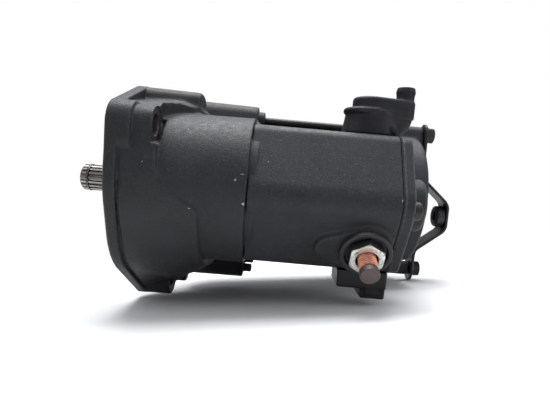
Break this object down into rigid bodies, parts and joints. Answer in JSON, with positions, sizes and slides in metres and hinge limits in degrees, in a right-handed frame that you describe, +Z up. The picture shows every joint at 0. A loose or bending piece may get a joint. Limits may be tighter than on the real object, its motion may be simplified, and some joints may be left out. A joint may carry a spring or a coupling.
{
  "type": "starter motor",
  "caption": "Electric starter motor with an offset reduction gear, a splined output shaft, a coaxial solenoid in a hexagonal housing and a rear support bracket.",
  "frame": {"origin": "at the centre of the output shaft's splined end face, on the shaft's axis; the mounting face is the plane x = 20.3 mm", "axes": "+X along the output shaft towards the rear bracket, +Y from the output shaft's axis towards the motor's axis, +Z up and square to the plane of the two axes"},
  "size_m": [0.1831, 0.135, 0.1068],
  "materials": {
    "black_cast": "die-cast, coated with textured matt black powder coat",
    "black_steel": "matt black paint",
    "bare_steel": "machined and lightly oiled",
    "dark_steel": "dark oxide",
    "zinc_plate": "zinc plated, slightly yellow",
    "copper": "bare copper, slightly dulled",
    "varnished_wire": "varnished copper wire",
    "lamination": "grey lamination steel",
    "bronze": "plain bearing bronze",
    "rubber": "matt moulded rubber",
    "black_plastic": "moulded, satin",
    "insulator": "moulded phenolic",
    "carbon": "pressed copper-graphite"
  },
  "bodies": {
    "housing": {"drive_housing": "black_cast", "solenoid_housing": "black_cast", "solenoid_cover": "black_cast", "rear_cover": "black_cast", "yoke": "black_steel", "rear_bracket": "black_steel", "bracket_nut": "black_steel", "through_bolt_upper": "black_steel", "through_bolt_lower": "black_steel", "cover_screw_1": "black_steel", "cover_screw_2": "black_steel", "cover_screw_3": "black_steel", "idler_pin": "bare_steel", "sleeve_bearing": "bare_steel", "front_bearing": "bare_steel", "rear_bearing": "bare_steel", "solenoid_core": "dark_steel", "return_spring": "dark_steel", "bearing_plate": "dark_steel", "battery_nut": "zinc_plate", "motor_stud_nut": "zinc_plate", "control_blade": "zinc_plate", "battery_stud": "copper", "motor_stud": "copper", "field_lead": "copper", "solenoid_winding": "varnished_wire", "field_coils": "varnished_wire", "pole_shoe_1": "lamination", "pole_shoe_2": "lamination", "pole_shoe_3": "lamination", "pole_shoe_4": "lamination", "nose_bush": "bronze", "clutch_bush": "bronze", "terminal_boot": "rubber", "shaft_seal": "rubber", "cover_gasket": "rubber", "control_terminal_block": "black_plastic", "terminal_insulator": "insulator", "motor_stud_insulator": "insulator", "coil_bobbin": "insulator", "brush_plate": "insulator", "brush_1": "carbon", "brush_2": "carbon", "brush_3": "carbon", "brush_4": "carbon"},
    "armature": {"armature_shaft": "bare_steel", "armature_core": "lamination", "armature_winding_front": "varnished_wire", "armature_winding_rear": "varnished_wire", "commutator": "copper"},
    "idler": {"idler_gear": "bare_steel", "idler_rollers": "bronze"},
    "clutch": {"clutch_gear": "bare_steel", "clutch_rollers": "bare_steel"},
    "sleeve": {"clutch_sleeve": "bare_steel"},
    "shaft": {"output_shaft": "bare_steel", "snap_ring": "dark_steel"},
    "plunger": {"plunger": "dark_steel", "contact_disc": "copper"}
  },
  "joints": [
    {"name": "armature_spin", "type": "hinge", "parent": "housing", "child": "armature", "pos_m": [0.1043, 0.06, 0], "axis": [1, 0, 0], "continuous": true},
    {"name": "idler_spin", "type": "hinge", "parent": "housing", "child": "idler", "pos_m": [0.0533, 0.0402, 0.01218], "axis": [1, 0, 0], "continuous": true},
    {"name": "clutch_spin", "type": "hinge", "parent": "housing", "child": "clutch", "pos_m": [0.0533, 0, 0], "axis": [1, 0, 0], "continuous": true},
    {"name": "clutch_overrun", "type": "hinge", "parent": "clutch", "child": "sleeve", "pos_m": [0.0533, 0, 0], "axis": [1, 0, 0], "continuous": true},
    {"name": "shaft_slide", "type": "slide", "parent": "sleeve", "child": "shaft", "axis": [-1, 0, 0], "range_m": [0, 0.009]},
    {"name": "plunger_slide", "type": "slide", "parent": "housing", "child": "plunger", "axis": [-1, 0, 0], "range_m": [0, 0.009], "deforming": ["return_spring"]}
  ],
  "couplings": [
    {"joint": "idler_spin", "follows": "armature_spin", "ratio": -0.55},
    {"joint": "clutch_spin", "follows": "armature_spin", "ratio": 0.30556},
    {"joint": "shaft_slide", "follows": "plunger_slide", "ratio": 1}
  ]
}
